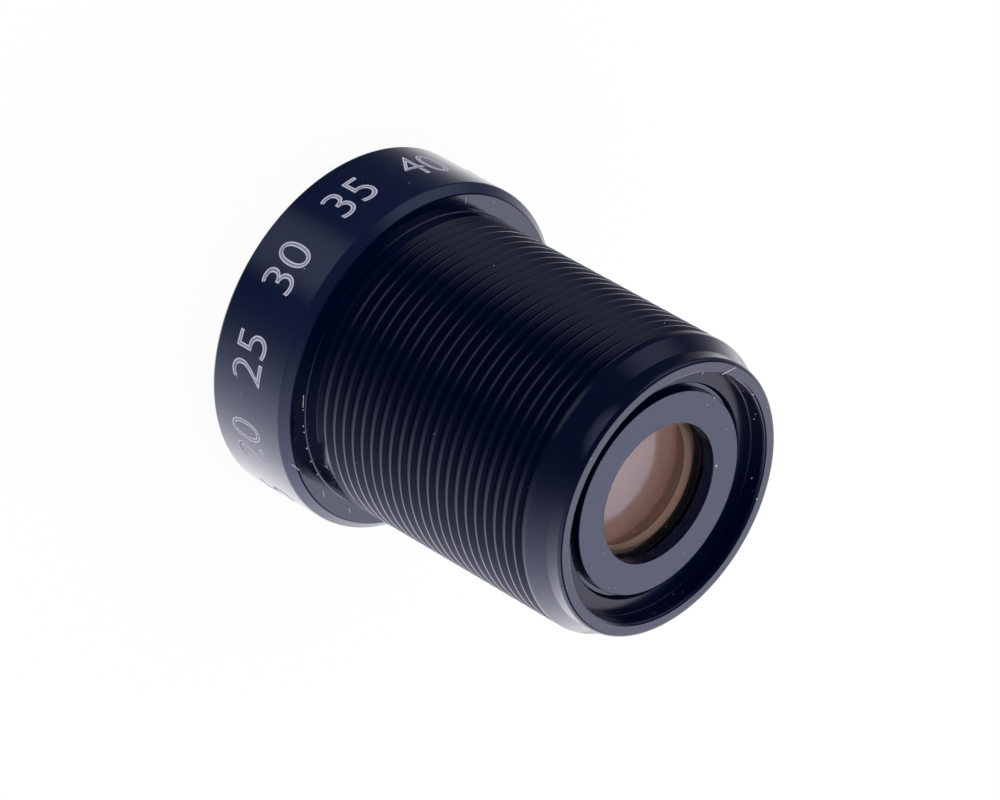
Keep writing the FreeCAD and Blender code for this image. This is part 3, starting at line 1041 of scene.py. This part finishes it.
@dataclass
class Dust:
    """Specks and lint where the photograph shows them, and a fine scatter all round.

    A speck on a flat is given by its distance from the axis, its angle and its own radius. One on a
    wall or on the lens also has its height, and a fibre is given by its ends.
    """

    seed: int = 12
    scatter: int = 110
    finest: float = 0.006
    coarsest: float = 0.02
    flat_share: float = 0.55
    lint_radius: float = 0.014
    lint_sides: int = 6
    smooth_below: float = 60.0
    bore_wall: float = 4.93
    on_ring: tuple[Place, ...] = (
        (2.93, -139.4, 0.05), (4.0, -90.8, 0.03), (3.65, -88.3, 0.022), (3.64, -117.0, 0.024),
        (3.77, 69.6, 0.02), (3.92, -30.4, 0.022), (3.81, 97.9, 0.02),
    )
    on_rim: tuple[Place, ...] = ((5.3, -117.9, 0.024), (5.0, -105.6, 0.03), (5.05, -161.6, 0.034))
    on_shoulder: tuple[Place, ...] = (
        (6.06, 38.6, 0.026), (6.05, 45.3, 0.036), (6.04, 48.0, 0.03), (6.03, 55.3, 0.04),
        (6.03, 61.8, 0.036), (6.02, 69.3, 0.034), (6.47, -81.4, 0.024), (6.41, -100.7, 0.024),
    )
    on_walls_and_glass: tuple[Speck, ...] = (
        (4.93, -153.9, 16.6, 0.03), (4.93, -124.2, 16.55, 0.026), (4.93, -120.3, 16.7, 0.022),
        (1.67, 99.6, 16.14, 0.02), (2.2, 155.3, 16.05, 0.022), (2.25, -57.2, 16.05, 0.016),
    )
    fibres: tuple[tuple[Place, Place], ...] = (
        ((6.79, 57.6, 3.92), (6.62, 61.4, 4.01)), ((6.13, 32.6, 4.02), (6.09, 37.4, 4.02)),
        ((6.21, 77.2, 4.01), (6.34, 79.6, 4.01)), ((6.21, 94.6, 4.01), (6.38, 96.6, 4.01)),
        ((6.3, -67.4, 4.01), (6.5, -67.0, 4.01)), ((5.34, -85.0, 17.01), (4.96, -79.0, 17.01)),
        ((4.9, -78.0, 16.4), (4.62, -76.0, 16.3)),
    )

    def specks(self) -> list[Speck]:
        """Specks that the photograph shows.

        Returns:
            Radius, angle, height and size of each.
        """
        flats = (
            (top_of("rear_retaining_ring"), self.on_ring), (top_of("barrel"), self.on_rim),
            (Barrel.head_length, self.on_shoulder),
        )
        found = [
            (radius, angle, height, size) for height, specks in flats for radius, angle, size in specks
        ]
        return found + list(self.on_walls_and_glass)

    def scattered(self) -> list[Speck]:
        """Fine dust drawn at random, more of it on the flats.

        Returns:
            Radius, angle, height and size of each speck.
        """
        draw = random.Random(self.seed)
        rim = top_of("barrel")
        # Inner and outer radius and height of ring, ledge, rim and shoulder
        flats = [
            (2.85, 4.0, top_of("rear_retaining_ring")), (4.35, 4.85, rim - Barrel.rim_bore_depth),
            (5.05, 5.38, rim), (6.0, 6.6, Barrel.head_length),
        ]
        # Radius and lowest and highest place on crests, head and recess
        walls = [
            (Barrel.crest_radius, 4.1, 15.6), (radius_of("barrel"), 0.2, 3.6),
            (self.bore_wall, 16.35, 16.85),
        ]
        found = []
        for _ in range(self.scatter):
            size = self.finest + (self.coarsest - self.finest) * draw.random() ** 3
            angle = draw.uniform(-180, 180)
            if draw.random() < self.flat_share:
                inner, outer, height = draw.choice(flats)
                found.append((draw.uniform(inner, outer), angle, height, size))
            else:
                radius, low, high = draw.choice(walls)
                found.append((radius, angle, draw.uniform(low, high), size))
        return found

    def build(self) -> None:
        """Make all of it as one piece."""
        deselect()
        bpy.ops.mesh.primitive_ico_sphere_add(subdivisions=1, radius=self.finest * MM)
        piece = named("dust")
        with editing(piece):
            bpy.ops.mesh.delete(type="VERT")
            for radius, angle, height, size in self.specks() + self.scattered():
                place = Vector(on_side(radius, angle, height)) * MM
                bpy.ops.mesh.primitive_ico_sphere_add(subdivisions=1, radius=size * MM, location=place)
            for ends in self.fibres:
                start, end = (Vector(on_side(*place)) for place in ends)
                along = end - start
                bpy.ops.mesh.primitive_cylinder_add(
                    vertices=self.lint_sides, radius=self.lint_radius * MM,
                    depth=along.length * MM, location=(start + end) / 2 * MM,
                    rotation=along.to_track_quat("Z", "Y").to_euler(),
                )
        smooth(piece, self.smooth_below)
        finish_piece(piece, DUST_FINISH)


def dress_frame_nodes() -> None:
    """Give the CAD nodes that stay their finishes."""
    finishes = {
        RUBBER_FINISH: ("seal_ring",),
        FILM_FINISH: ("front_light_shield", "middle_light_shield", "aperture_stop"),
        SPACER_FINISH: ("front_spacer", "middle_spacer", "stop_spacer"),
    }
    for finish, names in finishes.items():
        for name in names:
            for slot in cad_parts[name].material_slots:
                slot.material = finish.material()


# The studio


def seen_by(tree: NodeTree, *rays: str) -> NodeSocket:
    """Add the nodes that give one for some kinds of ray and nought for the rest.

    Args:
        tree: node tree that gets them.
        rays: names of Light Path's outputs.

    Returns:
        The one or nought.
    """
    path = add_node(tree, "LightPath")
    seen = path.outputs[rays[0]]
    for ray in rays[1:]:
        seen = add_node(
            tree, "Math", {"operation": "MAXIMUM"}, {0: seen, 1: path.outputs[ray]}
        ).outputs["Value"]
    return seen


@dataclass(frozen=True)
class Glow:
    """Soft patch of light in the surround."""

    towards: Place
    reach: float
    brightness: float

    def light(self, tree: NodeTree, direction: NodeSocket) -> NodeSocket:
        """Brightest in its middle and gone at its reach.

        Args:
            tree: node tree of the world.
            direction: where a ray goes.

        Returns:
            The patch's brightness.
        """
        across = add_node(
            tree, "VectorMath",
            {"operation": "DOT_PRODUCT", 1: Vector(self.towards).normalized()}, {0: direction},
        )
        patch = add_node(
            tree, "MapRange",
            {
                "interpolation_type": "SMOOTHSTEP", "From Min": math.cos(math.radians(self.reach)),
                "From Max": 1.0, "To Max": self.brightness,
            },
            {"Value": across.outputs["Value"]},
        )
        return patch.outputs["Result"]


@dataclass
class Surround:
    """White room for the eye; what polished surfaces mirror is lit from one side.

    The brightness round the horizon is given at azimuths in degrees, 0 towards the photographer
    and growing towards +X. It falls off towards the ceiling, sooner on the far side.
    """

    horizon: tuple[Point, ...] = (
        (-180, 0.95), (-162, 1.25), (-147, 0.9), (-133, 0.3), (-118, 0.1), (-100, 0.03), (10, 0.03),
        (22, 0.05), (40, 0.17), (60, 0.7), (80, 1.2), (100, 1.7), (120, 2.05), (140, 2.1),
        (160, 1.5), (180, 0.95),
    )
    brightest: float = 2.2
    ceiling_from: float = 0.42
    ceiling_to: float = 0.88
    ceiling_tilt: float = 0.35
    ceiling_share: float = 0.05
    glows: tuple[Glow, ...] = (Glow((-0.92, 0.0, 0.39), 36.0, 0.5), Glow((-0.27, -0.75, -0.61), 22.0, 0.4))
    dull_light: float = 0.95

    def mirrored(self, tree: NodeTree) -> NodeSocket:
        """Brightness of the surround as polished surfaces mirror it.

        Args:
            tree: node tree of the world.

        Returns:
            The brightness.
        """
        direction = add_node(tree, "TexCoord").outputs["Generated"]
        split = add_node(tree, "SeparateXYZ", links={0: direction})
        ahead = add_node(tree, "Math", {"operation": "MULTIPLY", 1: -1.0}, {0: split.outputs["Y"]})
        azimuth = add_node(
            tree, "Math", {"operation": "ARCTAN2"}, {0: split.outputs["X"], 1: ahead.outputs["Value"]}
        )
        round_it = add_node(
            tree, "MapRange", {"From Min": -math.pi, "From Max": math.pi},
            {"Value": azimuth.outputs["Value"]},
        )
        ramp = add_node(tree, "ValToRGB", links={"Fac": round_it.outputs["Result"]})
        stops = ramp.color_ramp
        stops.interpolation = "B_SPLINE"
        while len(stops.elements) < len(self.horizon):
            stops.elements.new(1.0)
        for stop, (degrees, brightness) in zip(stops.elements, self.horizon):
            share = brightness / self.brightest
            stop.position = degrees / 360 + 0.5
            stop.color = (share, share, share, 1)
        height = add_node(
            tree, "Math", {"operation": "MULTIPLY_ADD", 1: self.ceiling_tilt},
            {0: split.outputs["Y"], 2: split.outputs["Z"]},
        )
        fading = add_node(
            tree, "MapRange",
            {
                "interpolation_type": "SMOOTHSTEP", "From Min": self.ceiling_from,
                "From Max": self.ceiling_to, "To Min": self.brightest,
                "To Max": self.brightest * self.ceiling_share,
            },
            {"Value": height.outputs["Value"]},
        )
        total = add_node(
            tree, "Math", {"operation": "MULTIPLY"},
            {0: ramp.outputs["Color"], 1: fading.outputs["Result"]},
        ).outputs["Value"]
        for glow in self.glows:
            total = add_node(
                tree, "Math", {"operation": "ADD"}, {0: total, 1: glow.light(tree, direction)}
            ).outputs["Value"]
        return total

    def build(self) -> None:
        """Make the world."""
        world = bpy.data.worlds.new("white_surround")
        bpy.context.scene.world = world
        world.use_nodes = True
        tree = world.node_tree
        tree.nodes.clear()
        path = add_node(tree, "LightPath")
        plain = add_node(
            tree, "MapRange", {"To Min": self.dull_light, "To Max": 1.0},
            {"Value": seen_by(tree, "Is Camera Ray", "Is Transmission Ray")},
        )
        reflected = add_node(
            tree, "Math", {"operation": "SUBTRACT", "use_clamp": True},
            {0: path.outputs["Is Glossy Ray"], 1: path.outputs["Is Transmission Ray"]},
        )
        strength = add_node(
            tree, "Mix",
            links={0: reflected.outputs["Value"], 2: plain.outputs["Result"], 3: self.mirrored(tree)},
        )
        light = add_node(tree, "Background", {"Color": (1, 1, 1, 1)}, {"Strength": strength.outputs[0]})
        add_node(tree, "OutputWorld", links={"Surface": light.outputs["Background"]})


@dataclass
class Studio:
    """Pale floor, white surround and one soft lamp."""

    floor_half: float = 600.0
    floor_colour: str = "f4f4f6"
    shadow_share: float = 0.06
    lamp_size: float = 340.0
    lamp_place: Place = (0.0, 300.0, 235.0)
    lamp_power: float = 0.45

    def build(self) -> None:
        """Make all of it."""
        Surround().build()
        self.build_floor()
        self.build_lamp()

    def build_floor(self) -> None:
        """Pale floor that looks white and keeps a faint shadow."""
        deselect()
        bpy.ops.mesh.primitive_plane_add(size=2 * self.floor_half * MM)
        floor = named("floor")
        paint = bpy.data.materials.new("pale_floor")
        paint.use_nodes = True
        tree = paint.node_tree
        tree.nodes.clear()
        dull = add_node(tree, "BsdfDiffuse", {"Color": linear(self.floor_colour)})
        glow = add_node(tree, "Emission", {"Color": (1, 1, 1, 1), "Strength": 1.0})
        share = add_node(
            tree, "Math", {"operation": "MULTIPLY", 1: 1 - self.shadow_share},
            {0: seen_by(tree, "Is Camera Ray", "Is Glossy Ray", "Is Transmission Ray")},
        )
        mixed = add_node(
            tree, "MixShader",
            links={0: share.outputs["Value"], 1: dull.outputs["BSDF"], 2: glow.outputs["Emission"]},
        )
        add_node(tree, "OutputMaterial", links={"Surface": mixed.outputs["Shader"]})
        floor.data.materials.append(paint)
        floor.visible_glossy = False

    def build_lamp(self) -> None:
        """One large soft lamp behind the lens."""
        deselect()
        place = Vector(self.lamp_place) * MM
        bpy.ops.object.light_add(type="AREA", location=place)
        lamp = bpy.context.active_object
        lamp.name = "soft_lamp"
        lamp.data.shape = "DISK"
        lamp.data.size = self.lamp_size * MM
        lamp.data.energy = self.lamp_power
        lamp.rotation_mode = "QUATERNION"
        lamp.rotation_quaternion = (-place).to_track_quat("-Z", "Y")


@dataclass
class PhotoCamera:
    """Camera of the photograph, aimed by where the middle of the rear rim is in the picture."""

    elevation: float = 37.37
    roll: float = 119.55
    distance: float = 260.0
    focal_length: float = 258.6
    sensor_width: float = 36.0
    aim_right: float = 6.116
    aim_down: float = 3.590
    clip_start: float = 10.0
    clip_end: float = 5000.0

    def build(self) -> None:
        """Add the camera and make it the scene's."""
        elevation = math.radians(self.elevation)
        roll = math.radians(self.roll)
        side = Vector((1, 0, 0))
        up = Vector((0, math.sin(elevation), math.cos(elevation)))
        back = Vector((0, -math.cos(elevation), math.sin(elevation)))
        picture_right = side * math.cos(roll) + up * math.sin(roll)
        picture_up = up * math.cos(roll) - side * math.sin(roll)
        rim = Vector((0, 0, top_of("barrel")))
        place = rim - picture_right * self.aim_right + picture_up * self.aim_down
        place += back * self.distance
        deselect()
        bpy.ops.object.camera_add(location=place * MM)
        camera = bpy.context.active_object
        camera.name = "photo_camera"
        camera.data.sensor_width = self.sensor_width
        camera.data.lens = self.focal_length
        camera.data.clip_start = self.clip_start * MM
        camera.data.clip_end = self.clip_end * MM
        turn = Matrix((picture_right, picture_up, back)).transposed()
        camera.rotation_euler = turn.to_euler()
        bpy.context.scene.camera = camera


def main() -> None:
    """Build the lens, dress it and set up the studio."""
    logging.basicConfig(level=logging.INFO, format="%(name)s: %(message)s")
    bpy.context.scene.view_settings.view_transform = "Standard"
    PhotoCamera().build()
    barrel = Barrel().build()
    Numbers().build(barrel)
    RetainingRing().build()
    HoodRing().build()
    LensStack().build()
    Dust().build()
    dress_frame_nodes()
    Studio().build()


if __name__ == "__main__":
    main()
